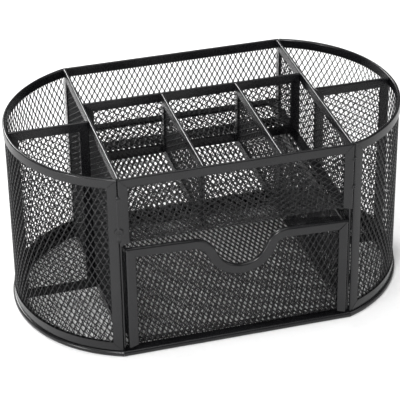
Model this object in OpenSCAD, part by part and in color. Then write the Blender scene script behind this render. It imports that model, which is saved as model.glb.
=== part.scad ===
// Desk organizer in expanded steel mesh: eight open bins and one drawer.
// The origin is on the desk under the middle of the base, +Z up, +Y towards the back wall.
// All lengths are in millimetres.

/* [Body] */
// Depth from the front face to the back face
body_depth = 131.4; // [116:0.2:131.4]
// Height of the top rim above the desk
body_height = 110; // [100:1:130]
// Outer radius of each bowed end wall
end_radius = 70; // [70:1:80]
// Distance from the middle of the organizer to the centre of each bow
end_centre = 40; // [40:1:60]

/* [Sheet metal] */
// Width of the folded edge strips
strip_w = 5.4; // [4.5:0.1:6]
// Thickness across a folded edge strip of the body
strip_t = 1.8; // [1.5:0.1:1.8]
// Thickness of the expanded mesh
mesh_t = 0.8; // [0.6:0.1:1]
// How deep the mesh reaches into a folded strip
mesh_bite = 4; // [3:0.1:4.2]
// Room left around the mesh inside a folded strip
slot_gap = 0.05; // [0.02:0.01:0.1]
// Seam left between two welded pieces
seam = 0.05; // [0.03:0.01:0.1]

/* [Base] */
// Height of the folded edge around the base
base_h = 3.2; // [2.6:0.1:3.6]
// How far the base edge stands out past the walls
base_lip = 1; // [0.2:0.1:1.2]

/* [Bins] */
// Place of the long divider, measured back from the middle
long_divider_y = 20; // [10:0.5:30]
// Sideways place of the left short divider
short_left_x = -18; // [-28:0.5:-12]
// Sideways place of the right short divider
short_right_x = 24.5; // [12:0.5:28]
// Height of the underside of the shelf below the small bins
shelf_z = 70; // [66:0.5:74]
// Thickness of the folded strips along the sides of the shelf
shelf_strip_t = 2; // [1.6:0.1:2.4]

/* [Drawer] */
// Width of the drawer front
front_w = 123.4; // [118:0.2:123.6]
// Thickness of the folded strips around the drawer front
front_t = 3; // [2.4:0.1:3.4]
// Height of the left end of the drawer front above the desk
front_left_top = 67.5; // [64:0.5:68.5]
// How much lower the right end of the front stands, from hand assembly
front_drop = 4.3; // [0:0.1:4.5]
// How much lower the foot of the front is at its right end
foot_drop = 0.9; // [0:0.1:1]
// Height of the drawer front's foot above the desk at its left end
front_foot = 4.8; // [4.6:0.1:5.4]
// Thickness of the folded strips of the drawer
drawer_strip_t = 2; // [1.6:0.1:2.4]
// Depth of the flat lip behind the top of the front, next to the finger cut
lip_depth = 8; // [4:0.5:10]
// Depth of that lip at the drawer's right side
lip_end_depth = 4; // [2:0.5:8]
// Thickness of that lip
lip_t = 0.8; // [0.6:0.1:1.2]
// Width of the drawer's box
box_w = 121.6; // [116:0.2:122.6]
// Distance from the drawer's front face to the outside of its back wall
box_depth = 125; // [100:1:126]
// Height of the top edge of the drawer's side and back walls
box_top = 62; // [50:0.5:62.5]
// Sideways play taken up by the drawer in its bay
drawer_shift = 0.5; // [0:0.1:0.5]

/* [Finger cut] */
// Distance of the cut's middle from the middle of the drawer front
cut_x = 1.6; // [-6:0.2:6]
// Depth of the cut below the top of the front
cut_depth = 19; // [16:0.5:22]
// Radius of the round bottom of the cut
cut_r = 14.5; // [13:0.5:16]
// Radius of each round shoulder of the cut
shoulder_r = 12.5; // [11:0.5:14]
// Steepest angle of the cut's sides
cut_angle = 65; // [60:1:70]

/* [Colours] */
// Powder coat on the folded strips
coat = "#2b2b2d"; // [#2b2b2d, #303032, #1f1f21]
// Powder coat on the mesh
mesh_coat = "#3a3a3d"; // [#3a3a3d, #444447, #2b2b2d]

/* [Hidden] */
$fn = 96;

half_depth = body_depth / 2;
// Half the length of the straight front and back, out to the corners
corner_x = end_centre + sqrt(end_radius * end_radius - half_depth * half_depth);
body_length = 2 * (end_centre + end_radius);
floor_z = base_h;
wall_h = body_height - floor_z;
slot_t = mesh_t + 2 * slot_gap;
wall_r = end_radius - strip_t / 2;
// Half angle from the middle of a bow to its corner, along the wall's middle
bow_angle = acos((corner_x - end_centre) / wall_r);
strip_angle = strip_w / wall_r * 180 / PI;
bite_angle = mesh_bite / wall_r * 180 / PI;
divider_x = corner_x - strip_t / 2;
inner_x = corner_x - strip_t;
inner_y = half_depth - strip_t;
shelf_top = shelf_z + shelf_strip_t;
bin_h = body_height - shelf_top;
// Length of the shelf, front to back
shelf_len = 2 * inner_y;
// Length of the short dividers
short_len = long_divider_y - strip_t / 2 + inner_y;
cross_reach = end_centre + sqrt(pow(end_radius - strip_t, 2) - pow(strip_t / 2, 2)) - corner_x;
base_mesh_z = 1.6;
far = 300;

front_y = -half_depth;
box_floor_z = 4.2;
cut_mid_drop = (shoulder_r + cut_r) * (1 - cos(cut_angle));
cut_run = (cut_depth - cut_mid_drop) / sin(cut_angle);
cut_half = (shoulder_r + cut_r) * sin(cut_angle) + cut_run * cos(cut_angle);

// ---- flat panels ----

// A folded strip around a flat panel standing on its own lower left corner.
// foot = false leaves the lower edge open.
module panel_frame(w, h, foot = true) {
    edge = strip_w - mesh_bite;
    low = foot ? strip_w : -1;
    slot_low = foot ? edge : -1;
    difference() {
        rotate([90, 0, 0])
            linear_extrude(strip_t, center = true)
                difference() {
                    square([w, h]);
                    translate([strip_w, low])
                        square([w - 2 * strip_w, h - strip_w - low]);
                }
        translate([edge, -slot_t / 2, slot_low])
            cube([w - 2 * edge, slot_t, h - edge - slot_low]);
    }
}

// The mesh held by panel_frame
module panel_mesh(w, h, foot = true) {
    side = strip_w - mesh_bite + slot_gap;
    low = foot ? side : 0;
    translate([side, -mesh_t / 2, low])
        cube([w - 2 * side, mesh_t, h - side - low]);
}

// Turns a panel drawn along X so that it runs front to back at one x
module front_to_back(x, y, z) {
    translate([x, y, z]) rotate([0, 0, 90]) children();
}

// ---- bowed end walls, drawn for the right and mirrored for the left ----

module on_side(side) {
    mirror([side < 0 ? 1 : 0, 0, 0]) children();
}

// A band swept round the bow between two angles, cut off square at the corner
module bow(r_in, r_out, z_low, z_high, from_angle, to_angle) {
    intersection() {
        translate([end_centre, 0, 0])
            rotate([0, 0, from_angle])
                rotate_extrude(angle = to_angle - from_angle, $fn = 180)
                    translate([r_in, z_low]) square([r_out - r_in, z_high - z_low]);
        translate([corner_x + seam, -far / 2, -1]) cube([far, far, far]);
    }
}

// The mesh ends inside the front strip; at the back it runs on to the corner
module bow_slot() {
    bow(wall_r - slot_t / 2, wall_r + slot_t / 2, floor_z + strip_w - mesh_bite,
        body_height - strip_w + mesh_bite, strip_angle - bite_angle - bow_angle, bow_angle + 5);
}

module end_mesh(side) {
    color(mesh_coat) on_side(side)
        bow(wall_r - mesh_t / 2, wall_r + mesh_t / 2, floor_z + strip_w - mesh_bite + slot_gap,
            body_height - strip_w + mesh_bite - slot_gap,
            strip_angle - bite_angle - bow_angle + 0.1, bow_angle + 5);
}

module end_band(side, z_low) {
    color(coat) on_side(side) difference() {
        bow(end_radius - strip_t, end_radius, z_low, z_low + strip_w, -bow_angle - 5, bow_angle + 5);
        bow_slot();
    }
}

module end_strip(side) {
    low = floor_z + strip_w + seam;
    high = body_height - strip_w - seam;
    color(coat) on_side(side) difference() {
        bow(end_radius - strip_t, end_radius, low, high, -bow_angle - 5, strip_angle - bow_angle);
        bow_slot();
    }
}

module left_end_mesh() { end_mesh(-1); }
module right_end_mesh() { end_mesh(1); }
module left_end_rim() { end_band(-1, body_height - strip_w); }
module right_end_rim() { end_band(1, body_height - strip_w); }
module left_end_foot() { end_band(-1, floor_z); }
module right_end_foot() { end_band(1, floor_z); }
module left_end_front_strip() { end_strip(-1); }
module right_end_front_strip() { end_strip(1); }

// ---- base ----

// Outline of the walls in plan, grown by a distance
module plan(grow) {
    square([2 * corner_x, body_depth + 2 * grow], center = true);
    for (side = [-1, 1])
        intersection() {
            translate([side * end_centre, 0]) circle(end_radius + grow, $fn = 180);
            translate([side * (corner_x + far / 2 - 0.5), 0])
                square([far + 1, body_depth + 2 * grow], center = true);
        }
}

module base_edge() {
    color(coat) difference() {
        linear_extrude(base_h) plan(base_lip);
        translate([0, 0, -1]) linear_extrude(base_h + 2) plan(-strip_w);
        translate([0, 0, base_mesh_z - slot_gap]) linear_extrude(slot_t) plan(mesh_bite - strip_w);
    }
}

module base_mesh() {
    color(mesh_coat) translate([0, 0, base_mesh_z])
        linear_extrude(mesh_t) plan(mesh_bite - strip_w - slot_gap);
}

// ---- back wall, upper front panel and dividers ----

// A folded strip along the straight back, its open side up or down
module back_strip(z, slot_z) {
    color(coat) translate([seam - corner_x, half_depth - strip_t, z]) difference() {
        cube([2 * (corner_x - seam), strip_t, strip_w]);
        translate([-1, (strip_t - slot_t) / 2, slot_z]) cube([2 * corner_x + 2, slot_t, mesh_bite + 1]);
    }
}

module back_rim() { back_strip(body_height - strip_w, -1); }
module back_foot() { back_strip(floor_z, strip_w - mesh_bite); }

module back_mesh() {
    low = floor_z + strip_w - mesh_bite + slot_gap;
    high = body_height - strip_w + mesh_bite - slot_gap;
    color(mesh_coat) translate([seam - corner_x, half_depth - (strip_t + mesh_t) / 2, low])
        cube([2 * (corner_x - seam), mesh_t, high - low]);
}

module front_panel_frame() {
    color(coat) translate([seam - corner_x, strip_t / 2 - half_depth, shelf_z])
        panel_frame(2 * (corner_x - seam), body_height - shelf_z, foot = false);
}

module front_panel_mesh() {
    color(mesh_coat) translate([seam - corner_x, strip_t / 2 - half_depth, shelf_z])
        panel_mesh(2 * (corner_x - seam), body_height - shelf_z, foot = false);
}

module left_divider_frame() {
    color(coat) front_to_back(-divider_x, -inner_y, floor_z) panel_frame(2 * inner_y, wall_h);
}

module left_divider_mesh() {
    color(mesh_coat) front_to_back(-divider_x, -inner_y, floor_z) panel_mesh(2 * inner_y, wall_h);
}

module right_divider_frame() {
    color(coat) front_to_back(divider_x, -inner_y, floor_z) panel_frame(2 * inner_y, wall_h);
}

module right_divider_mesh() {
    color(mesh_coat) front_to_back(divider_x, -inner_y, floor_z) panel_mesh(2 * inner_y, wall_h);
}

module left_cross_frame() {
    color(coat) translate([-corner_x - cross_reach, 0, floor_z]) panel_frame(cross_reach, wall_h);
}

module left_cross_mesh() {
    color(mesh_coat) translate([-corner_x - cross_reach, 0, floor_z]) panel_mesh(cross_reach, wall_h);
}

module right_cross_frame() {
    color(coat) translate([corner_x, 0, floor_z]) panel_frame(cross_reach, wall_h);
}

module right_cross_mesh() {
    color(mesh_coat) translate([corner_x, 0, floor_z]) panel_mesh(cross_reach, wall_h);
}

// ---- shelf and the small bins on it ----

module shelf_mesh() {
    side = inner_x - strip_w + mesh_bite - slot_gap;
    back = inner_y - strip_w + mesh_bite - slot_gap;
    color(mesh_coat) translate([-side, -inner_y, shelf_z + (shelf_strip_t - mesh_t) / 2])
        cube([2 * side, inner_y + back, mesh_t]);
}

module shelf_side_strips() {
    color(coat) for (side = [0, 1]) mirror([side, 0, 0]) difference() {
        translate([inner_x - strip_w, -inner_y, shelf_z]) cube([strip_w, shelf_len, shelf_strip_t]);
        translate([inner_x - strip_w - 1, -inner_y - 1, shelf_z + (shelf_strip_t - slot_t) / 2])
            cube([mesh_bite + 1, shelf_len + 2, slot_t]);
    }
}

module shelf_back_strip() {
    reach = inner_x - strip_w - seam;
    color(coat) difference() {
        translate([-reach, inner_y - strip_w, shelf_z]) cube([2 * reach, strip_w, shelf_strip_t]);
        translate([-far / 2, inner_y - strip_w - 1, shelf_z + (shelf_strip_t - slot_t) / 2])
            cube([far, mesh_bite + 1, slot_t]);
    }
}

module long_divider_frame() {
    color(coat) translate([-inner_x, long_divider_y, shelf_top]) panel_frame(2 * inner_x, bin_h);
}

module long_divider_mesh() {
    color(mesh_coat) translate([-inner_x, long_divider_y, shelf_top]) panel_mesh(2 * inner_x, bin_h);
}

module short_left_frame() {
    color(coat) front_to_back(short_left_x, -inner_y, shelf_top) panel_frame(short_len, bin_h);
}

module short_left_mesh() {
    color(mesh_coat) front_to_back(short_left_x, -inner_y, shelf_top) panel_mesh(short_len, bin_h);
}

module short_right_frame() {
    color(coat) front_to_back(short_right_x, -inner_y, shelf_top) panel_frame(short_len, bin_h);
}

module short_right_mesh() {
    color(mesh_coat) front_to_back(short_right_x, -inner_y, shelf_top) panel_mesh(short_len, bin_h);
}

// ---- drawer ----

// Height of the straight top line of the front at a place along it
function top_at(x) = front_left_top - front_drop * (x + front_w / 2) / front_w;
function foot_at(x) = front_foot - foot_drop * (x + front_w / 2) / front_w;

function arc(cx, cz, r, a0, a1, n = 10) =
    [for (i = [0:n]) let (a = a0 + (a1 - a0) * i / n) [cx + r * cos(a), cz + r * sin(a)]];

// Right half of the finger cut, moved inwards by d, with the top line at z = 0
function half_cut(d) = concat(
    arc(0, cut_r - cut_depth, cut_r + d, -90, cut_angle - 90),
    arc(cut_half, -shoulder_r, shoulder_r - d, 90 + cut_angle, 90)
);

function flip(points) = [for (i = [len(points) - 1:-1:0]) [-points[i][0], points[i][1]]];

// Top edge of the front from left to right, moved inwards by d
function top_edge(d, side) =
    let (cut = concat(flip(half_cut(d)), half_cut(d)))
    concat(
        [[side - front_w / 2, top_at(side - front_w / 2) - d]],
        [for (p = cut) [p[0] + cut_x, p[1] + top_at(p[0] + cut_x)]],
        [[front_w / 2 - side, top_at(front_w / 2 - side) - d]]
    );

// Outline of the front: its top edge inset by d, its sides by side and its foot by foot
module front_shape(d, side, foot) {
    polygon(concat(
        top_edge(d, side),
        [[front_w / 2 - side, foot_at(front_w / 2) + foot]],
        [[side - front_w / 2, foot_at(-front_w / 2) + foot]]
    ));
}

// Stands an outline drawn in x and z upright, t thick, with its middle at y
module upright(y, t) {
    translate([0, y, 0]) rotate([90, 0, 0]) linear_extrude(t, center = true) children();
}

module in_bay() {
    translate([drawer_shift, 0, 0]) children();
}

module drawer_front_frame() {
    mid = front_y + front_t / 2;
    color(coat) in_bay() difference() {
        upright(mid, front_t) front_shape(0, 0, 0);
        upright(mid, front_t + 2) front_shape(strip_w, strip_w, -5);
        upright(mid, slot_t) front_shape(strip_w - mesh_bite, strip_w - mesh_bite, -5);
    }
}

module drawer_front_mesh() {
    inset = strip_w - mesh_bite + slot_gap;
    color(mesh_coat) in_bay() upright(front_y + front_t / 2, mesh_t) front_shape(inset, inset, 0.4);
}

// Flat lip behind the top of the front, from the finger cut to the right side
module drawer_front_lip() {
    start = cut_x + cut_half;
    run = box_w / 2 - drawer_strip_t - start - 0.3;
    color(coat) in_bay() translate([start, front_y + front_t, top_at(start) - lip_t - 0.2])
        rotate([0, atan(front_drop / front_w), 0])
            linear_extrude(lip_t)
                polygon([[0, 0], [run, 0], [run, lip_end_depth], [0, lip_depth]]);
}

module drawer_floor() {
    color(mesh_coat) in_bay() translate([-box_w / 2, front_y + front_t, box_floor_z])
        cube([box_w, box_depth - front_t, mesh_t]);
}

wall_low = box_floor_z + mesh_t;
back_y = front_y + box_depth - drawer_strip_t / 2;

// Folded strip along the top edge of a drawer wall drawn along X
module wall_trim(length) {
    translate([0, -drawer_strip_t / 2, box_top - strip_w]) difference() {
        cube([length, drawer_strip_t, strip_w]);
        translate([-1, (drawer_strip_t - slot_t) / 2, -1]) cube([length + 2, slot_t, mesh_bite + 1]);
    }
}

module wall_mesh(length) {
    translate([0, -mesh_t / 2, wall_low])
        cube([length, mesh_t, box_top - strip_w + mesh_bite - slot_gap - wall_low]);
}

side_len = box_depth - front_t;
side_x = box_w / 2 - drawer_strip_t / 2;
back_len = box_w - 2 * drawer_strip_t;

module drawer_left_trim() {
    color(coat) in_bay() front_to_back(-side_x, front_y + front_t, 0) wall_trim(side_len);
}

module drawer_left_mesh() {
    color(mesh_coat) in_bay() front_to_back(-side_x, front_y + front_t, 0) wall_mesh(side_len);
}

module drawer_right_trim() {
    color(coat) in_bay() front_to_back(side_x, front_y + front_t, 0) wall_trim(side_len);
}

module drawer_right_mesh() {
    color(mesh_coat) in_bay() front_to_back(side_x, front_y + front_t, 0) wall_mesh(side_len);
}

module drawer_back_trim() {
    color(coat) in_bay() translate([-back_len / 2, back_y, 0]) wall_trim(back_len);
}

module drawer_back_mesh() {
    color(mesh_coat) in_bay() translate([-back_len / 2, back_y, 0]) wall_mesh(back_len);
}

base_edge();
base_mesh();
left_end_mesh();
left_end_rim();
left_end_foot();
left_end_front_strip();
right_end_mesh();
right_end_rim();
right_end_foot();
right_end_front_strip();
back_rim();
back_foot();
back_mesh();
front_panel_frame();
front_panel_mesh();
left_divider_frame();
left_divider_mesh();
right_divider_frame();
right_divider_mesh();
left_cross_frame();
left_cross_mesh();
right_cross_frame();
right_cross_mesh();
shelf_mesh();
shelf_side_strips();
shelf_back_strip();
long_divider_frame();
long_divider_mesh();
short_left_frame();
short_left_mesh();
short_right_frame();
short_right_mesh();
drawer_front_frame();
drawer_front_lip();
drawer_front_mesh();
drawer_floor();
drawer_left_trim();
drawer_left_mesh();
drawer_right_trim();
drawer_right_mesh();
drawer_back_trim();
drawer_back_mesh();
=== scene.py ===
# %% [markdown]
# # A desk organizer in expanded steel mesh
# The real thing is made in three steps. Sheets of expanded steel mesh are cut to size, a thin steel
# strip is folded over every cut edge, and the panels are spot welded into a box with bowed ends.
# The whole thing is then powder coated in one go, so mesh and strips have the same satin black coat.
# This file follows the same order: first the mesh, then the folded strips, then welds and coat.

# %% Load the frame
import math
import bpy
import numpy as np
from mathutils import Matrix, Vector


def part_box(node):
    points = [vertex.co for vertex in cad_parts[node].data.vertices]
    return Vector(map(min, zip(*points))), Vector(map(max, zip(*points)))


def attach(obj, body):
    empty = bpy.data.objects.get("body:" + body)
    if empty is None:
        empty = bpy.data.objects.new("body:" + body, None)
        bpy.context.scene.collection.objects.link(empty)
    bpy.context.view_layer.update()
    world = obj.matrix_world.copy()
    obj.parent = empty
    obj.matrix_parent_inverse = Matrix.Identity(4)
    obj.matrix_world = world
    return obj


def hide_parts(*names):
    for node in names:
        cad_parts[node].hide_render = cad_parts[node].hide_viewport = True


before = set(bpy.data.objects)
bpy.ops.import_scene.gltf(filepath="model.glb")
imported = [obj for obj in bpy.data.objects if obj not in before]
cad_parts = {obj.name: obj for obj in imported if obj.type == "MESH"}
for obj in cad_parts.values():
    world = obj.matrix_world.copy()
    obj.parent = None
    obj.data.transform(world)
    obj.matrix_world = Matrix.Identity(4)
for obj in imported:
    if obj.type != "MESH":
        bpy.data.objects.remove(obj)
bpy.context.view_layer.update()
MM = 0.001
print("solids in the frame:", len(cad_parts))

# %% [markdown]
# Every place is read from the solids, in millimetres, because a maker thinks in millimetres.
# The sizes that a box can't tell, such as those of a fold or the finger cut, are named here once.

# %% Read the sizes


def box_mm(node):
    low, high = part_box(node)
    return np.array(low) / MM, np.array(high) / MM


STRIP_WIDTH = 5.4      # how far a folded strip covers the panel
STRIP_THICK = 1.8      # across a folded strip of the body
FRONT_THICK = 3.0      # across the drawer front's rolled strip
CUT_X = 2.1            # middle of the finger cut
CUT_DEPTH = 19.0
CUT_RADIUS = 14.5
SHOULDER_RADIUS = 12.5
CUT_ANGLE = math.radians(65)
FOOT_BEND = 1.8        # radius in which a front's mesh turns back at its foot
FOOT_RUN = 4.0         # how far it then runs back

rim_low, rim_high = box_mm("right_end_rim")
CORNER_X = rim_low[0]
BULGE = rim_high[0] - CORNER_X
HALF_DEPTH = rim_high[1]
BOW_RADIUS = (HALF_DEPTH ** 2 + BULGE ** 2) / (2 * BULGE)
BOW_CENTRE = rim_high[0] - BOW_RADIUS
TOP_Z = rim_high[2]
FOOT_Z = box_mm("right_end_foot")[0][2]
print(f"bow radius {BOW_RADIUS:.2f} mm about x = {BOW_CENTRE:.2f} mm")
print(f"walls from {FOOT_Z:.1f} to {TOP_Z:.1f} mm")

# %% [markdown]
# ## The coat
# Powder coat is a plastic film, polyester or epoxy, that is sprayed on dry and melted in an oven.
# It levels as it melts, but not fully: a fine orange peel of about a millimetre stays, and the film
# is a little thicker in one place than in another. The eye sees a satin black with soft, slightly
# broken highlights. It is a plastic over the metal, so metallic is 0 and the IOR is that of a
# plastic. Image textures could do this too, but noise needs no seams on thousands of small strands.

# %% Colour and node helpers
COAT_IOR = 1.46
CLOUD_MM = 18.0        # size of the clouds in the film's thickness
DUST_MM = 0.25         # size of the specks in its gloss


def linear(code):
    parts = [int(code[i:i + 2], 16) / 255 for i in (1, 3, 5)]
    return [p / 12.92 if p <= 0.04045 else ((p + 0.055) / 1.055) ** 2.4 for p in parts] + [1.0]


def add_node(tree, kind, values=None, wires=None, **settings):
    """Adds one node, sets its settings and input values, and wires its inputs."""
    node = tree.nodes.new(kind)
    for key, value in settings.items():
        setattr(node, key, value)
    for key, value in (values or {}).items():
        node.inputs[key].default_value = value
    for key, source in (wires or {}).items():
        tree.links.new(source, node.inputs[key])
    return node


def powder_coat(name, thin, thick, rough_low, rough_high, peel_mm, peel_height_mm):
    """Satin powder coat: orange peel bump, a cloudy film thickness and fine dust in the gloss."""
    material = bpy.data.materials.new(name)
    material.use_nodes = True
    tree = material.node_tree
    tree.nodes.clear()
    place = add_node(tree, "ShaderNodeTexCoord").outputs["Object"]
    cloud, peel, dust = [
        add_node(tree, "ShaderNodeTexNoise", {"Scale": 1 / (size * MM), "Detail": detail}, {"Vector": place})
        for size, detail in ((CLOUD_MM, 3.0), (peel_mm, 2.0), (DUST_MM, 1.0))]
    film = add_node(tree, "ShaderNodeValToRGB", wires={"Fac": cloud.outputs["Fac"]})
    film.color_ramp.elements[0].position = 0.35
    film.color_ramp.elements[0].color = linear(thin)
    film.color_ramp.elements[1].position = 0.65
    film.color_ramp.elements[1].color = linear(thick)
    gloss = add_node(tree, "ShaderNodeMapRange",
                     {"From Min": 0.3, "From Max": 0.7, "To Min": rough_low, "To Max": rough_high},
                     {"Value": dust.outputs["Fac"]})
    bump = add_node(tree, "ShaderNodeBump", {"Strength": 0.5, "Distance": peel_height_mm * MM},
                    {"Height": peel.outputs["Fac"]})
    coat = add_node(tree, "ShaderNodeBsdfPrincipled", {"IOR": COAT_IOR, "Metallic": 0.0},
                    {"Base Color": film.outputs["Color"], "Roughness": gloss.outputs["Result"],
                     "Normal": bump.outputs["Normal"]})
    add_node(tree, "ShaderNodeOutputMaterial", wires={"Surface": coat.outputs["BSDF"]})
    return material


# %% [markdown]
# The strips are smooth sheet, so their coat shows its peel. On the mesh the powder clings to every
# cut edge, which makes it a little thicker, rounder and duller.

# %% Mix the coats
strip_coat = powder_coat("powder coat on folded strip", "#0b0b0d", "#111113", 0.2, 0.3, 1.2, 0.03)
mesh_coat = powder_coat("powder coat on expanded mesh", "#0b0b0d", "#111113", 0.26, 0.38, 0.7, 0.02)
weld_coat = powder_coat("powder coat over welds", "#0f0f11", "#161618", 0.26, 0.38, 0.5, 0.03)
print("coats:", strip_coat.name, "/", mesh_coat.name, "/", weld_coat.name)

# %% [markdown]
# ## One way to make every piece
# A panel can be flat, bowed or folded at its foot, yet the mesh and the strips on it are made alike.
# So each panel has a function that takes a place on the flat sheet, u across and v up, with w out of
# the sheet, and tells where it ends up in space. Bend, array and curve modifiers could do the same,
# but plain functions keep the shared corners welded and the millimetres exact.

# %% Build and finish a piece
CREASE_ANGLE = 40


def build_piece(name, points, faces, coat, body, nodes=(), crease=None):
    """Makes a mesh object from points in millimetres and puts it on its body."""
    mesh = bpy.data.meshes.new(name)
    mesh.from_pydata((points * MM).tolist(), [], faces)
    mesh.validate()
    mesh.shade_smooth()
    if crease:
        mesh.set_sharp_from_angle(angle=math.radians(crease))
    mesh.materials.append(coat)
    piece = bpy.data.objects.new(name, mesh)
    bpy.context.scene.collection.objects.link(piece)
    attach(piece, body)
    if nodes:
        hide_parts(*nodes)
    return piece


def strip_piece(name, points, faces, node, body="organizer"):
    """A piece folded from strip, whose edges over the crease angle stay sharp."""
    return build_piece(name, points, faces, strip_coat, body, [node], CREASE_ANGLE)


def mesh_piece(name, points, faces, node, body="organizer"):
    """A piece cut from expanded mesh, whose strands shade as round."""
    return build_piece(name, points, faces, mesh_coat, body, [node])


def is_mirrored(place, u, v):
    """True if the place function turns the sheet's outer side inwards."""
    at = [np.array([c]) for c in (u, v, 0.0)]
    start = place(*at)[0]
    steps = []
    for axis in range(3):
        moved = [c + (0.01 if i == axis else 0.0) for i, c in enumerate(at)]
        steps.append(place(*moved)[0] - start)
    return np.linalg.det(np.array(steps)) < 0


# %% [markdown]
# ## Expanded mesh
# Expanded metal is not woven. A press slits and pulls the sheet, and each slit opens to a diamond.
# Where two slits overlap, a short bond stays, and the strands lean because the pull twists them.
# An image with holes would be lighter, but it has no strand sides to catch the light, so here each
# diamond is real: a six-sided hole, and round it a strand with a ridge on both faces. The holes meet
# on a grid of half pitches, so neighbours share their ridge points and shade as one round strand.
# The pitch is 3.1 to 3.6 by 5.8 to 7.1 mm, as each sheet is stretched a little differently, and the
# strands are 0.6 mm thick.

# %% Make a sheet of expanded mesh
WALL_PITCH = (3.19, 6.3)
END_PITCH = (3.42, 6.5)
FRONT_PITCH = (3.35, 6.4)
PANEL_PITCH = (3.6, 5.8)
FLOOR_PITCH = (3.13, 7.1)
STRAND_THICK = 0.6
STRAND_LEAN = 0.2
BOND_WIDTH = 1.0
BOND_LENGTH = 1.45
BOND_FLAT = 0.22       # straight part of a hole's side, as a share of the bond's length


def squeeze(value, low, high, soft=0.8):
    """Gathers what reaches past a limit close inside it, so that no strand ends in a folded face."""
    over = high - soft * np.exp(-(np.maximum(value, high - soft) - high + soft) / soft)
    value = np.where(value > high - soft, over, value)
    under = low + soft * np.exp((np.minimum(value, low + soft) - low - soft) / soft)
    return np.where(value < low + soft, under, value)


def expanded_sheet(width, height, place, pitch=WALL_PITCH, outline=None, start=(0, 0)):
    """Points and faces of a sheet; outline(u) gives the lowest and highest v there.

    start is how much of the first diamonds is cut off."""
    half_u, half_v = pitch[0] / 2, pitch[1] / 2
    begin_u, begin_v = start
    columns, rows = int((width + begin_u) / half_u) + 1, int((height + begin_v) / half_v) + 1
    p, q = np.meshgrid(np.arange(columns + 1), np.arange(rows + 1), indexing="ij")
    outline = outline or (lambda u: (np.zeros_like(u), np.full_like(u, height)))
    middle_u, middle_v = p * half_u - begin_u, q * half_v - begin_v
    low, high = outline(middle_u)
    kept = (p + q) % 2 == 0
    kept &= (middle_u >= 0) & (middle_u <= width) & (middle_v >= low) & (middle_v <= high)
    p, q, middle_u, middle_v = p[kept], q[kept], middle_u[kept], middle_v[kept]
    number = np.full((columns + 3, rows + 3), -1)
    corners = [(p + 2, q + 1), (p + 1, q + 2), (p, q + 1), (p + 1, q)]
    for corner in corners:
        number[corner] = 0
    grid_p, grid_q = np.nonzero(number == 0)
    number[grid_p, grid_q] = np.arange(len(grid_p))
    count = len(grid_p)
    ridge_u, ridge_v = (grid_p - 1) * half_u - begin_u, (grid_q - 1) * half_v - begin_v
    side, tip, flat = half_u - BOND_WIDTH / 2, half_v - BOND_LENGTH / 2, BOND_LENGTH * BOND_FLAT
    hole = [(0, tip, 0), (side, flat, -1), (side, -flat, -1),
            (0, -tip, 0), (-side, -flat, 1), (-side, flat, 1)]
    u = np.concatenate([ridge_u, ridge_u] + [middle_u + du for du, dv, lean in hole])
    v = np.concatenate([ridge_v, ridge_v] + [middle_v + dv for du, dv, lean in hole])
    w = np.concatenate([np.full(count, STRAND_THICK / 2), np.full(count, -STRAND_THICK / 2)]
                       + [np.full(len(p), lean * STRAND_LEAN) for du, dv, lean in hole])
    u = squeeze(u, 0, width)
    low, high = outline(u)
    v = squeeze(v, low, high)
    points = place(u, v, w)
    e, n, west, s = [number[corner] for corner in corners]
    ring = [2 * count + k * len(p) + np.arange(len(p)) for k in range(6)]
    quads = [(e, n, ring[0], ring[1]), (n, west, ring[5], ring[0]),
             (west, s, ring[3], ring[4]), (s, e, ring[2], ring[3])]
    wedges = [(e, ring[1], ring[2]), (west, ring[4], ring[5])]
    faces = []
    flip = is_mirrored(place, width / 2, height / 2)
    for group in quads + wedges:
        upper = np.stack(group, axis=1)
        ridge_count = 2 if len(group) == 4 else 1
        lower = upper.copy()
        lower[:, :ridge_count] += count
        faces += (upper[:, ::-1] if flip else upper).tolist()
        faces += (lower if flip else lower[:, ::-1]).tolist()
    return points, faces


# %% [markdown]
# ## Folded strips
# Each cut edge is hidden in a strip folded to a narrow U, about 5 mm wide and 1.8 mm thick. The fold
# itself is not sharp: it has a flat crest and two rounded corners, which draw two thin bright lines.
# At the corners of a panel the strips meet in a mitre. A strip is swept along its edge here, each
# point of its U section stopping a little earlier the further in it lies, which cuts the mitre.
# Strips folded by hand are never dead straight, so each wanders by less than a tenth of a millimetre.

# %% Make a folded strip
SEAM = 0.12


def fold_section(width=STRIP_WIDTH, thick=STRIP_THICK, corner=0.8, sheet=0.45):
    """The U section as (distance in from the edge, height over the sheet)."""
    half, slot = thick / 2, thick / 2 - sheet
    crest = []
    for step in range(5):
        angle = math.radians(90 * step / 4)
        crest.append((corner - corner * math.sin(angle), half - corner + corner * math.cos(angle)))
    crest += [(d, -w) for d, w in reversed(crest)]
    leg = [(width - 0.2, -half), (width, 0.2 - half), (width, -slot), (half + 0.8, -slot),
           (half + 0.8, slot), (width, slot), (width, half - 0.2), (width - 0.2, half)]
    return np.array(crest + leg)


def mitre(distance):
    return SEAM + distance


def square_end(distance):
    return SEAM + 0 * distance


def rounded_end(distance, radius=2.2):
    """An open end whose inner corner is rounded off."""
    inward = np.clip(distance - (STRIP_WIDTH - radius), 0, radius)
    return SEAM + radius - np.sqrt(radius ** 2 - inward ** 2)


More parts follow.
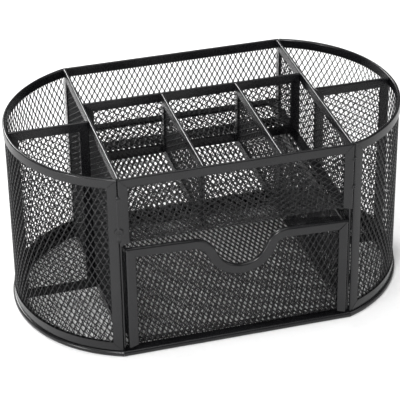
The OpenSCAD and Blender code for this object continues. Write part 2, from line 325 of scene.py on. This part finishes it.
def folded_strip(length, place, start=mitre, end=mitre, section=None, seed=0.0, spacing=4.0, wander=0.05):
    """Points and faces of one strip; place takes (along, in from the edge, out of the sheet)."""
    section = fold_section() if section is None else section
    d, w = section[:, 0], section[:, 1]
    stations = max(2, int(length / spacing) + 1)
    ratio = np.linspace(0, 1, stations)[:, None]
    first, last = start(d), length - end(d)
    along = first + (last - first) * ratio
    wave = wander * (np.sin(along / 6.1 + seed) + 0.6 * np.sin(along / 2.7 + 2.3 * seed))
    depth = d + 0 * along + 0.5 * wave * (d < 2)
    points = place(along.ravel(), depth.ravel(), (w + wave).ravel())
    size = len(section)
    faces = []
    for i in range(stations - 1):
        a, b = i * size, (i + 1) * size
        faces += [(a + k, a + (k + 1) % size, b + (k + 1) % size, b + k) for k in range(size)]
    end_cap = list(range((stations - 1) * size, stations * size))
    faces += [list(range(size))[::-1], end_cap]
    if not is_mirrored(place, length / 2, STRIP_WIDTH / 2):
        faces = [face[::-1] for face in faces]
    return points, faces


def join_parts(parts):
    """Joins several (points, faces) pairs to one."""
    points, faces, offset = [], [], 0
    for part_points, part_faces in parts:
        points.append(part_points)
        faces += [[i + offset for i in face] for face in part_faces]
        offset += len(part_points)
    return np.concatenate(points), faces


# %% [markdown]
# ## Flat panels
# The upper front wall and all the dividers are flat. Their place function reads the thin axis of
# the panel from its solid. Their sheets lie on their side, so the long diamonds are level. Mesh is
# never dead flat either: it bellies a little between its strips, so each panel gets a shallow wave of
# a quarter of a millimetre.

# %% Place flat panels
WAVE_MM = 17.0


def turned(place):
    """The same panel with the sheet laid on its side, so that its long diamonds lie level."""
    return lambda u, v, w: place(v, u, w)


def flat_place(node, belly=0.25, seed=0.0):
    """A place function for an upright panel, its width and its height."""
    low, high = box_mm(node)
    size = high - low
    thin = 0 if size[0] < size[1] else 1
    wide = 1 - thin
    middle = (low[thin] + high[thin]) / 2
    out = -1 if thin == 1 else 1
    width, height = size[wide], size[2]

    def place(u, v, w):
        points = np.zeros((len(u), 3))
        belled = belly * np.sin(np.pi * u / width) * np.sin(np.pi * v / height)
        wave = belled * np.sin(u / WAVE_MM + seed)
        points[:, wide] = low[wide] + u
        points[:, 2] = low[2] + v
        points[:, thin] = middle + out * (w + wave)
        return points
    return place, width, height


def strips_round(node, foot=True, seed=0.0):
    """Folded strips round a flat panel, mitred where they meet."""
    place, width, height = flat_place(node, belly=0)
    lower = mitre if foot else rounded_end
    parts = [
        folded_strip(width, lambda s, d, w: place(s, height - d, w), seed=seed),
        folded_strip(height, lambda s, d, w: place(d, s, w), start=lower, seed=seed + 1),
        folded_strip(height, lambda s, d, w: place(width - d, s, w), start=lower, seed=seed + 2)]
    if foot:
        parts.append(folded_strip(width, lambda s, d, w: place(s, d, w), seed=seed + 3))
    return join_parts(parts)


def flat_panel(panel, seed):
    frame_node, mesh_node = panel + "_frame", panel + "_mesh"
    points, faces = strips_round(frame_node, seed=seed)
    strip_piece(frame_node + "_strips", points, faces, frame_node)
    place, width, height = flat_place(mesh_node, seed=seed)
    points, faces = expanded_sheet(height, width, turned(place), PANEL_PITCH)
    mesh_piece(mesh_node + "_strands", points, faces, mesh_node)
    print(f"{panel}: {width:.0f} x {height:.0f} mm, {len(faces)} mesh faces")


# %% Make the flat panels
PANEL_SEEDS = {"left_divider": 1.1, "right_divider": 2.2, "left_cross": 3.1, "right_cross": 4.7,
               "long_divider": 5.2, "short_left": 6.4, "short_right": 7.9}
for panel, seed in PANEL_SEEDS.items():
    flat_panel(panel, seed)

# %% [markdown]
# ## Upper front wall
# Its strips run along the top and down both sides, where they end in a rounded corner. Along the
# foot there is no strip: the mesh itself bends back in a small radius and lies under the shelf.

# %% A sheet with a folded foot


def folded_place(left, front, foot, shear=None):
    """u runs along X, v first forward along the foot, round the bend, and then up the front."""
    radius, run = FOOT_BEND, FOOT_RUN
    turn = radius * math.pi / 2

    def place(u, v, w):
        x = left + u
        lift = shear(x) if shear else 0
        angle = np.clip((run + turn - v) / radius, 0, math.pi / 2)
        up, back = np.maximum(v - run - turn, 0), np.maximum(run - v, 0)
        y = front + radius - (radius + w) * np.cos(angle) + back
        z = foot + radius - (radius + w) * np.sin(angle) + up + lift
        return np.stack([x, y, z], axis=1)
    return place, run + turn - radius


# %% Make the upper front wall
points, faces = strips_round("front_panel_frame", foot=False, seed=8.3)
strip_piece("front_panel_strips", points, faces, "front_panel_frame")
low, high = box_mm("front_panel_mesh")
wall_y = (low[1] + high[1]) / 2
place, extra = folded_place(low[0], wall_y, low[2] + STRAND_THICK)
sheet_height = high[2] - low[2] - STRAND_THICK + extra
points, faces = expanded_sheet(sheet_height, high[0] - low[0], turned(place), PANEL_PITCH)
mesh_piece("front_panel_strands", points, faces, "front_panel_mesh")
print("upper front wall:", len(faces), "mesh faces")

# %% [markdown]
# ## Bowed end walls and back wall
# The same mesh, rolled to an arc of 70 mm radius. Its rim and foot strips are rolled with it. At the
# front an upright strip closes it against the front wall, and at the back the mesh runs on into the
# flat back wall, where only the rim and the foot are covered and butt against those of the bows.

# %% Place things on a bow
WALL_RADIUS = BOW_RADIUS - STRIP_THICK / 2
BOW_ANGLE = math.acos((CORNER_X - BOW_CENTRE) / WALL_RADIUS)
BOW_LENGTH = 2 * BOW_ANGLE * WALL_RADIUS
print(f"each bow is {BOW_LENGTH:.1f} mm long and turns {2 * math.degrees(BOW_ANGLE):.0f} degrees")


def bow_place(side, base):
    """u runs round the bow with the inside on the left, v goes up, w points out."""
    def place(u, v, w):
        angle = (u / WALL_RADIUS - BOW_ANGLE) + (math.pi if side < 0 else 0)
        radius = WALL_RADIUS + w
        x = side * BOW_CENTRE + radius * np.cos(angle)
        return np.stack([x, radius * np.sin(angle), base + v], axis=1)
    return place


def end_wall(side, word):
    seed = 1.7 * side
    wall = bow_place(side, FOOT_Z)
    height = TOP_Z - FOOT_Z
    ends = (square_end, mitre) if side < 0 else (mitre, square_end)
    upright = lambda s, d, w: wall(BOW_LENGTH - d if side < 0 else d, s, w)
    strips = {
        "rim": (BOW_LENGTH, lambda s, d, w: wall(s, height - d, w), ends),
        "foot": (BOW_LENGTH, lambda s, d, w: wall(s, d, w), ends),
        "front_strip": (height, upright, (mitre, mitre))}
    for k, (kind, (length, place, (start, end))) in enumerate(strips.items()):
        points, faces = folded_strip(length, place, start, end, seed=seed + k, spacing=3.0)
        node = f"{word}_end_{kind}"
        strip_piece(node + "_fold", points, faces, node)
    node = f"{word}_end_mesh"
    low, high = box_mm(node)
    inset = low[2] - FOOT_Z
    first = 0 if side < 0 else inset
    sheet = lambda u, v, w: wall(u + first, v + inset, w)
    points, faces = expanded_sheet(BOW_LENGTH - inset, high[2] - low[2], sheet, END_PITCH)
    mesh_piece(node + "_strands", points, faces, node)
    print(word, "end wall:", len(faces), "mesh faces")


# %% Make both end walls
end_wall(-1, "left")
end_wall(1, "right")

# %% Make the back wall
for node, seed in (("back_rim", 0.3), ("back_foot", 1.3)):
    low, high = box_mm(node)
    inward = -1 if node == "back_rim" else 1
    edge_z = high[2] if node == "back_rim" else low[2]
    middle = (low[1] + high[1]) / 2
    edge = lambda s, d, w: np.stack([low[0] + s, middle + w, edge_z + inward * d], axis=1)
    points, faces = folded_strip(high[0] - low[0], edge, square_end, square_end, seed=seed)
    strip_piece(node + "_fold", points, faces, node)
place, width, height = flat_place("back_mesh", seed=0.3)
points, faces = expanded_sheet(width, height, place)
mesh_piece("back_mesh_strands", points, faces, "back_mesh")
print(f"back wall: {width:.0f} x {height:.0f} mm, {len(faces)} mesh faces")

# %% [markdown]
# ## Base
# The floor is one sheet of mesh with bowed ends, its long diamonds running front to back. The strip
# round it is folded flat, a little thicker than the others, and stands just proud of the walls.
# It is made of four lengths that meet at the corners.

# %% Make the base
base_low, base_high = box_mm("base_edge")
LIP = base_high[1] - HALF_DEPTH
BASE_THICK = base_high[2] - base_low[2]
BASE_RADIUS = BOW_RADIUS + LIP
BASE_CORNER = BOW_CENTRE + math.sqrt(BASE_RADIUS ** 2 - base_high[1] ** 2)
BASE_ANGLE = math.asin(base_high[1] / BASE_RADIUS)
base_section = fold_section(STRIP_WIDTH + LIP, BASE_THICK, corner=1.3, sheet=0.9)
corner_turn = (math.pi / 2 - BASE_ANGLE) / 2


def base_joint(distance):
    return SEAM + distance * math.tan(corner_turn)


def base_straight(side):
    def place(s, d, w):
        return np.stack([s - BASE_CORNER, side * (base_high[1] - d), BASE_THICK / 2 + w], axis=1)
    return place


def base_bow(side):
    def place(s, d, w):
        angle = s / BASE_RADIUS - BASE_ANGLE + (math.pi if side < 0 else 0)
        radius = BASE_RADIUS - d
        return np.stack([side * BOW_CENTRE + radius * np.cos(angle), radius * np.sin(angle),
                         BASE_THICK / 2 + w], axis=1)
    return place


parts = []
for side in (-1, 1):
    parts.append(folded_strip(2 * BASE_CORNER, base_straight(side), base_joint, base_joint,
                              base_section, seed=side + 4.0, wander=0.02))
    parts.append(folded_strip(2 * BASE_ANGLE * BASE_RADIUS, base_bow(side), base_joint, base_joint,
                              base_section, seed=side + 2.0, spacing=3.0, wander=0.02))
points, faces = join_parts(parts)
strip_piece("base_edge_fold", points, faces, "base_edge")

# %% Make the mesh floor
low, high = box_mm("base_mesh")
floor_z = (low[2] + high[2]) / 2


def floor_place(u, v, w):
    return np.stack([low[0] + u, low[1] + v, floor_z + w], axis=1)


def floor_outline(u):
    x = np.abs(low[0] + u)
    reach = np.sqrt(np.maximum(high[0] - BOW_CENTRE, 0) ** 2 - np.maximum(x - BOW_CENTRE, 0) ** 2 + 1e-9)
    half = np.where(x > BOW_CENTRE, np.minimum(reach, high[1]), high[1])
    return -half - low[1], half - low[1]


points, faces = expanded_sheet(high[0] - low[0] - 0.01, high[1] - low[1], floor_place, FLOOR_PITCH,
                               floor_outline)
mesh_piece("base_floor_strands", points, faces, "base_mesh")
print("base:", len(faces), "mesh faces")

# %% [markdown]
# ## Shelf
# The floor of the small bins runs through to the back wall. Folded strips carry it along the dividers
# and along the back wall, and the long divider stands on it.

# %% Make the shelf
low, high = box_mm("shelf_side_strips")
mesh_low, mesh_high = box_mm("shelf_mesh")
shelf_mid = (mesh_low[2] + mesh_high[2]) / 2
shelf_section = fold_section(STRIP_WIDTH, high[2] - low[2], corner=0.6, sheet=0.5)
sides = []
for side in (-1, 1):
    edge = lambda s, d, w, side=side: np.stack([side * (high[0] - d), low[1] + s, shelf_mid + w], axis=1)
    sides.append(folded_strip(high[1] - low[1], edge, square_end, square_end, shelf_section,
                              seed=side + 9.0))
points, faces = join_parts(sides)
strip_piece("shelf_side_folds", points, faces, "shelf_side_strips")
sheet = lambda u, v, w: np.stack([mesh_low[0] + u, mesh_low[1] + v, shelf_mid + w], axis=1)
width, depth = (mesh_high - mesh_low)[:2]
points, faces = expanded_sheet(width, depth, sheet, FLOOR_PITCH)
mesh_piece("shelf_strands", points, faces, "shelf_mesh")

low, high = box_mm("shelf_back_strip")
edge = lambda s, d, w: np.stack([low[0] + s, high[1] - d, shelf_mid + w], axis=1)
points, faces = folded_strip(high[0] - low[0], edge, square_end, square_end, shelf_section, seed=3.3)
strip_piece("shelf_back_fold", points, faces, "shelf_back_strip")
print("shelf:", len(faces), "faces in its back strip")

# %% [markdown]
# ## Drawer front
# One strip runs along the top edge and dips round the finger cut, and two upright strips meet it in
# mitres. The front is put together by hand and sits a few millimetres lower on the right. The strip is
# rolled rather than pressed flat, so its crest is rounder and wider than on the body.
# The path of the cut is drawn from its real radii: a round bottom, two short slopes, two shoulders.

# %% Draw the drawer front's top edge
low, high = box_mm("drawer_front_frame")
FRONT_LEFT, FRONT_RIGHT = low[0], high[0]
FRONT_WIDTH = FRONT_RIGHT - FRONT_LEFT
TOP_DROP = 4.3         # how much lower the top edge is on the right
FOOT_DROP = 0.9        # and the foot
MESH_COVER = 1.6       # how far the mesh stays below the crest of the strip
TOP_LEFT_Z = high[2]
FOOT_LEFT_Z = low[2] + FOOT_DROP
FRONT_MID_Y = low[1] + FRONT_THICK / 2


def top_line(x):
    return TOP_LEFT_Z - TOP_DROP * (x - FRONT_LEFT) / FRONT_WIDTH


def foot_line(x):
    return FOOT_LEFT_Z - FOOT_DROP * (x - FRONT_LEFT) / FRONT_WIDTH


both = SHOULDER_RADIUS + CUT_RADIUS
slope_run = (CUT_DEPTH - both * (1 - math.cos(CUT_ANGLE))) / math.sin(CUT_ANGLE)
CUT_HALF = both * math.sin(CUT_ANGLE) + slope_run * math.cos(CUT_ANGLE)
half = []
for step in range(25):
    angle = CUT_ANGLE * step / 24
    half.append((CUT_RADIUS * math.sin(angle), CUT_RADIUS - CUT_DEPTH - CUT_RADIUS * math.cos(angle)))
for step in range(25):
    angle = CUT_ANGLE * (1 - step / 24)
    half.append((CUT_HALF - SHOULDER_RADIUS * math.sin(angle), SHOULDER_RADIUS * (math.cos(angle) - 1)))
cut = [(-x, z) for x, z in reversed(half[1:])] + half
edge_x = np.array([FRONT_LEFT] + [CUT_X + x for x, z in cut] + [FRONT_RIGHT])
edge_z = np.array([TOP_LEFT_Z] + [z + top_line(CUT_X + x) for x, z in cut] + [top_line(FRONT_RIGHT)])
steps = np.hypot(np.diff(edge_x), np.diff(edge_z))
edge_s = np.concatenate([[0], np.cumsum(steps)])
EDGE_LENGTH = edge_s[-1]
fine_s = np.arange(0, EDGE_LENGTH, 0.4)
fine_x, fine_z = np.interp(fine_s, edge_s, edge_x), np.interp(fine_s, edge_s, edge_z)
lean_x, lean_z = np.gradient(fine_x, fine_s), np.gradient(fine_z, fine_s)
soft = np.ones(5) / 5
lean_x = np.convolve(np.pad(lean_x, 2, mode="edge"), soft, mode="valid")
lean_z = np.convolve(np.pad(lean_z, 2, mode="edge"), soft, mode="valid")
print(f"top edge {EDGE_LENGTH:.1f} mm long")
print(f"finger cut {2 * CUT_HALF:.1f} mm wide and {CUT_DEPTH:.0f} mm deep")


def top_edge_place(s, d, w):
    x, z = np.interp(s, fine_s, fine_x), np.interp(s, fine_s, fine_z)
    tx, tz = np.interp(s, fine_s, lean_x), np.interp(s, fine_s, lean_z)
    size = np.hypot(tx, tz)
    return np.stack([x + d * tz / size, FRONT_MID_Y - w, z - d * tx / size], axis=1)


# %% Make the drawer front
rolled = fold_section(STRIP_WIDTH, FRONT_THICK, corner=1.2, sheet=0.7)
left_height = TOP_LEFT_Z - foot_line(FRONT_LEFT)
right_height = top_line(FRONT_RIGHT) - foot_line(FRONT_RIGHT)
left_side = lambda s, d, w: np.stack([FRONT_LEFT + d, FRONT_MID_Y - w, foot_line(FRONT_LEFT) + s], axis=1)
right_side = lambda s, d, w: np.stack([FRONT_RIGHT - d, FRONT_MID_Y - w, foot_line(FRONT_RIGHT) + s], axis=1)
points, faces = join_parts([
    folded_strip(EDGE_LENGTH, top_edge_place, mitre, mitre, rolled, seed=0.9, spacing=1.6, wander=0.03),
    folded_strip(left_height, left_side, rounded_end, mitre, rolled, seed=2.9),
    folded_strip(right_height, right_side, rounded_end, mitre, rolled, seed=4.9)])
strip_piece("drawer_front_folds", points, faces, "drawer_front_frame", "drawer")

low, high = box_mm("drawer_front_mesh")
place, extra = folded_place(low[0], FRONT_MID_Y, STRAND_THICK, foot_line)


def front_outline(u):
    x = low[0] + u
    crest = np.interp(x, edge_x, edge_z) - MESH_COVER
    return np.zeros_like(u), crest - foot_line(x) - STRAND_THICK + extra


sheet_height = high[2] - low[2] + FOOT_RUN + extra
points, faces = expanded_sheet(high[0] - low[0], sheet_height, place, FRONT_PITCH, front_outline)
mesh_piece("drawer_front_strands", points, faces, "drawer_front_mesh", "drawer")
print("drawer front:", len(faces), "mesh faces")

# %% [markdown]
# Behind the right half of the front's top edge the strip's rear leg is opened out to a flat lip, deep
# near the finger cut and narrow at the side. It is a thin sheet with a slight droop at its free edge.

# %% Make the lip
low, high = box_mm("drawer_front_lip")
LIP_LENGTH = high[0] - low[0]
LIP_DEPTH = 8.0        # at the finger cut
LIP_TAPER = 4.0        # how much less it is at the side


def lip_place(s, d, w):
    x = low[0] + s
    reach = d / LIP_DEPTH * (LIP_DEPTH - LIP_TAPER * s / LIP_LENGTH)
    droop = 0.012 * reach ** 2
    return np.stack([x, low[1] + reach, top_line(x) - 0.7 + w - droop], axis=1)


lip_depths = np.linspace(0, LIP_DEPTH, 9)
lip_section = np.array([(d, 0.35) for d in lip_depths] + [(LIP_DEPTH + 0.15, 0.0)]
                       + [(d, -0.35) for d in lip_depths[::-1]])
points, faces = folded_strip(LIP_LENGTH, lip_place, square_end, square_end, lip_section,
                             seed=6.6, wander=0.06)
strip_piece("drawer_front_lip_sheet", points, faces, "drawer_front_lip", "drawer")

# %% [markdown]
# ## Drawer box
# Three low mesh walls stand on a mesh floor, with a folded strip along their top edges.

# %% Make the drawer box
wall_section = fold_section(STRIP_WIDTH, 2.0, corner=0.6, sheet=0.5)
for word in ("left", "right", "back"):
    node = f"drawer_{word}_trim"
    place, width, height = flat_place(node, belly=0)
    edge = lambda s, d, w: place(s, height - d, w)
    points, faces = folded_strip(width, edge, square_end, square_end, wall_section, seed=len(word) * 1.0)
    strip_piece(node + "_fold", points, faces, node, "drawer")
    node = f"drawer_{word}_mesh"
    place, width, height = flat_place(node, seed=len(word) * 1.0)
    points, faces = expanded_sheet(width, height, place)
    mesh_piece(node + "_strands", points, faces, node, "drawer")
low, high = box_mm("drawer_floor")
sheet = lambda u, v, w: np.stack([low[0] + u, low[1] + v, (low[2] + high[2]) / 2 + w], axis=1)
base_corner = box_mm("base_mesh")[0]
FLOOR_SLIP = (1.25, 2.2)    # how far its diamonds lie from those of the base
start = [(low[k] - base_corner[k] + FLOOR_SLIP[k]) % FLOOR_PITCH[k] for k in (0, 1)]
points, faces = expanded_sheet(high[0] - low[0], high[1] - low[1], sheet, FLOOR_PITCH, start=start)
mesh_piece("drawer_floor_strands", points, faces, "drawer_floor", "drawer")
print("drawer floor:", len(faces), "mesh faces")

# %% [markdown]
# ## Welds
# The strips of two panels are joined by spot welds where they touch. Each leaves a shallow pressed
# dish with a raised ring, half filled by the coat, and that small ring catches the light. The left
# front corner also has a short seam bead.

# %% Make the weld spots


def weld_spot(at, out, radius=1.3):
    """A small dish with a raised ring, turned about the direction out."""
    outline = [(0.0, -0.1), (0.35, -0.04), (0.6, 0.22), (0.8, 0.38), (1.0, 0.26), (1.2, -0.12)]
    turn = Vector((0, 0, 1)).rotation_difference(Vector(out)).to_matrix()
    points = [(0.0, 0.0, outline[0][1])]
    for r, h in outline[1:]:
        for k in range(16):
            angle = 2 * math.pi * k / 16
            points.append((r * radius * math.cos(angle), r * radius * math.sin(angle), h))
    faces = [(0, 1 + k, 1 + (k + 1) % 16) for k in range(16)]
    for ring in range(len(outline) - 2):
        a, b = 1 + 16 * ring, 17 + 16 * ring
        faces += [(a + k, b + k, b + (k + 1) % 16, a + (k + 1) % 16) for k in range(16)]
    faces.append([1 + 16 * (len(outline) - 2) + k for k in range(16)][::-1])
    placed = [np.array(turn @ Vector(p)) + np.array(at) for p in points]
    return np.array(placed), faces


# Height and radius of the spots at the front of each corner.
FRONT_SPOTS = {-1: ((98.5, 1.1), (79.0, 1.9)), 1: ((100.5, 1.1), (83.5, 1.1))}
SEAM_FOOT, SEAM_LENGTH = 72.0, 28.5
spots = []
for side in (-1, 1):
    for z, radius in FRONT_SPOTS[side]:
        at = (side * CORNER_X, 0.1 - HALF_DEPTH, z)
        spots.append(weld_spot(at, (0.19 * side, -0.98, 0), radius))
    for z in (TOP_Z - STRIP_WIDTH / 2, FOOT_Z + STRIP_WIDTH / 2):
        at = (side * CORNER_X, HALF_DEPTH - 0.15, z)
        spots.append(weld_spot(at, (0.19 * side, 0.98, 0), 0.9))
seam_y = -HALF_DEPTH + 0.75
bead = fold_section(2.0, 1.5, corner=0.6, sheet=0.5)
place = lambda s, d, w: np.stack([-CORNER_X - 1.0 + d, seam_y - w, SEAM_FOOT + s], axis=1)
spots.append(folded_strip(SEAM_LENGTH, place, square_end, square_end, bead, seed=1.9, wander=0.02))
points, faces = join_parts(spots)
build_piece("corner_weld_spots", points, faces, weld_coat, "organizer")
print("weld spots:", len(spots))

# %% [markdown]
# ## Floor, light and camera
# The organizer stands on a plain white surface in a white studio. Nearly all of its light comes from
# the white around it, which is what lights black satin: its faces are dark and its edges reflect the
# room. A large softbox overhead carries most of the light. A small one behind draws the thin bright
# lines on the folds, a low one lights the left bow, one at the front left draws a bright dash on each
# rising strand, and a weak one fills the right.

# %% Make the white floor
floor_material = bpy.data.materials.new("white studio paper")
floor_material.use_nodes = True
tree = floor_material.node_tree
tree.nodes.clear()
grain = add_node(tree, "ShaderNodeTexNoise", {"Scale": 300.0, "Detail": 2.0},
                 {"Vector": add_node(tree, "ShaderNodeTexCoord").outputs["Object"]})
shade = add_node(tree, "ShaderNodeValToRGB", wires={"Fac": grain.outputs["Fac"]})
shade.color_ramp.elements[0].color = linear("#f4f4f4")
shade.color_ramp.elements[1].color = linear("#ffffff")
surface = add_node(tree, "ShaderNodeBsdfPrincipled", {"Roughness": 0.9, "Emission Strength": 0.05},
                   {"Base Color": shade.outputs["Color"], "Emission Color": shade.outputs["Color"]})
add_node(tree, "ShaderNodeOutputMaterial", wires={"Surface": surface.outputs["BSDF"]})
reach = 6.0
corners = [(-reach, -reach, 0), (reach, -reach, 0), (reach, reach, 0), (-reach, reach, 0)]
floor_mesh = bpy.data.meshes.new("studio_floor")
floor_mesh.from_pydata(corners, [], [(0, 1, 2, 3)])
floor_mesh.materials.append(floor_material)
studio_floor = bpy.data.objects.new("studio_floor", floor_mesh)
bpy.context.scene.collection.objects.link(studio_floor)

# %% Light the studio
scene = bpy.context.scene
world = bpy.data.worlds.new("white studio")
world.use_nodes = True
world.node_tree.nodes["Background"].inputs["Color"].default_value = (1, 1, 1, 1)
world.node_tree.nodes["Background"].inputs["Strength"].default_value = 0.27
scene.world = world
scene.view_settings.view_transform = "Standard"


def soft_light(name, at, size, watts):
    light = bpy.data.lights.new(name, "AREA")
    light.shape = "DISK"
    light.size = size
    light.energy = watts
    lamp = bpy.data.objects.new(name, light)
    lamp.location = at
    lamp.rotation_euler = (Vector((0, 0, 0.05)) - Vector(at)).to_track_quat("-Z", "Y").to_euler()
    scene.collection.objects.link(lamp)


soft_light("softbox overhead", (-0.1, 0.0, 1.7), 1.4, 16)
soft_light("softbox behind", (-0.45, 1.2, 0.85), 0.5, 14)
soft_light("strip light from the left", (-1.1, -0.5, 0.3), 0.2, 5)
soft_light("key from the front left", (-0.62, -1.07, 0.95), 0.3, 13)
soft_light("fill from the right", (1.2, -0.7, 0.8), 0.6, 3)

# %% [markdown]
# The camera stands about a metre away, a little to the left of the front and looking down at 31
# degrees, with a long lens, as for a catalogue picture.

# %% Set the camera
AZIMUTH, ELEVATION, ROLL = (math.radians(a) for a in (-15.37, 31.123, -0.893))
DISTANCE, LENS, SENSOR = 1025.17, 164.3517, 36.0
AIM = Vector((-2.816, -0.756, 50.0))
forward = Vector((-math.sin(AZIMUTH) * math.cos(ELEVATION), math.cos(AZIMUTH) * math.cos(ELEVATION),
                  -math.sin(ELEVATION)))
level = Vector((math.cos(AZIMUTH), math.sin(AZIMUTH), 0))
upward = level.cross(forward)
right = level * math.cos(ROLL) + upward * math.sin(ROLL)
up = upward * math.cos(ROLL) - level * math.sin(ROLL)
eye = (AIM - forward * DISTANCE) * MM
camera_data = bpy.data.cameras.new("catalogue_camera")
camera_data.sensor_width = SENSOR
camera_data.lens = LENS
camera_data.clip_start = 0.05
camera = bpy.data.objects.new("catalogue_camera", camera_data)
camera.matrix_world = Matrix((
    (right.x, up.x, -forward.x, eye.x), (right.y, up.y, -forward.y, eye.y),
    (right.z, up.z, -forward.z, eye.z), (0, 0, 0, 1)))
scene.collection.objects.link(camera)
scene.camera = camera
print(f"lens {camera_data.lens:.1f} mm at {DISTANCE:.0f} mm")
